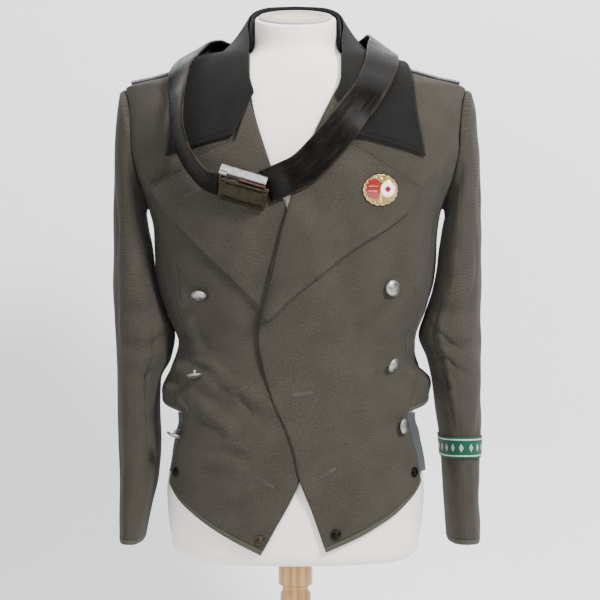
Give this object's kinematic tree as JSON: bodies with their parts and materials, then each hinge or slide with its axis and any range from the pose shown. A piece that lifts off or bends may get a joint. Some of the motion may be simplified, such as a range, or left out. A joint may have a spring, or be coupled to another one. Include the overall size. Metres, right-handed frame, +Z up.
{
  "type": "short military tunic with a belt, on a limbless dress form and stand",
  "caption": "Short double-breasted wool tunic with wide lapels, dark collar, cutaway points and shoulder boards, belt draped on it, on a limbless form with a wooden stand.",
  "frame": {"origin": "on the floor, under the middle of the stand's round base", "axes": "+Z up along the post; the tunic faces -Y; the wearer's left is +X"},
  "size_m": [0.4944, 0.3227, 0.967],
  "materials": {
    "wool": "matt stone-grey wool twill",
    "dark_wool": "matt charcoal wool",
    "lining": "soft blue-grey cotton",
    "leather": "worn black-brown leather",
    "silver": "pebbled silver",
    "steel": "dull grey",
    "dark_metal": "dark worn brass",
    "cord": "silver cord on a dark underlay",
    "green": "green woven ribbon",
    "enamel": "gilt and enamel",
    "canvas": "cream canvas",
    "wood": "varnished pale wood",
    "cap": "pale turned cap"
  },
  "bodies": {
    "root": {"front_left": "wool", "front_right": "wool", "back": "wool", "side_left": "wool", "side_right": "wool", "sleeve_top_left": "wool", "sleeve_top_right": "wool", "sleeve_under_left": "wool", "sleeve_under_right": "wool", "lapel_left": "wool", "lapel_right": "wool", "collar": "dark_wool", "collar_stand": "dark_wool", "lining_left": "lining", "lining_right": "lining", "belt": "leather", "button_left_1": "silver", "button_left_2": "silver", "button_left_3": "silver", "button_right_1": "silver", "button_right_2": "silver", "button_right_3": "silver", "buckle_plate": "steel", "buckle_face": "dark_metal", "snap_left_1": "dark_metal", "snap_left_2": "dark_metal", "snap_right_1": "dark_metal", "snap_right_2": "dark_metal", "board_left": "cord", "board_right": "cord", "cuff_band": "green", "badge": "enamel", "dress_form": "canvas", "post": "wood", "base": "wood", "neck_cap": "cap"}
  },
  "joints": []
}
